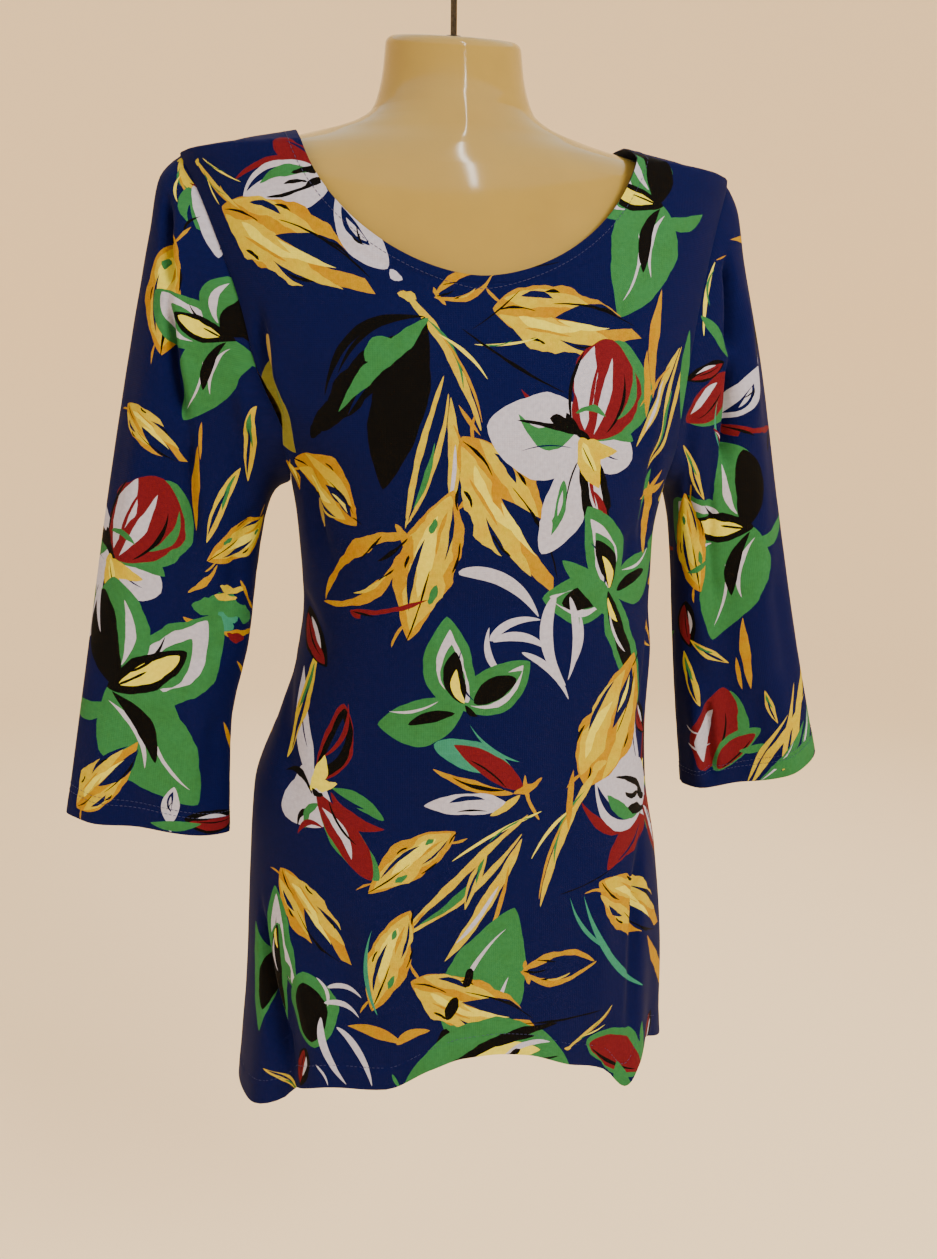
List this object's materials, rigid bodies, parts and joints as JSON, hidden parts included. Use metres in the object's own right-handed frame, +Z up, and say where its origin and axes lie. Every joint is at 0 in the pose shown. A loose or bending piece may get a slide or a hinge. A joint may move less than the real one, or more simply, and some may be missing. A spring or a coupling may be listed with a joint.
{
  "type": "tunic top worn on a hanging dress form",
  "caption": "Scoop-neck tunic top with three-quarter sleeves in floral printed jersey, worn by a limbless plastic dress form that hangs by its own wire hook.",
  "frame": {"origin": "inside top of the hook's crook, where the rail that holds it touches", "axes": "+Z up, -Y the way the front of the tunic faces, +X to the right of someone who looks at the front"},
  "size_m": [0.6352, 0.2107, 0.8745],
  "materials": {
    "printed_jersey": "smooth knitted jersey with a dull sheen and a printed pattern",
    "cream_plastic": "glossy moulded plastic",
    "plated_wire": "plated steel wire"
  },
  "bodies": {
    "root": {"front": "printed_jersey", "back": "printed_jersey", "sleeve_left": "printed_jersey", "sleeve_right": "printed_jersey", "dress_form": "cream_plastic", "hook": "plated_wire", "hook_nut": "plated_wire"}
  },
  "joints": []
}
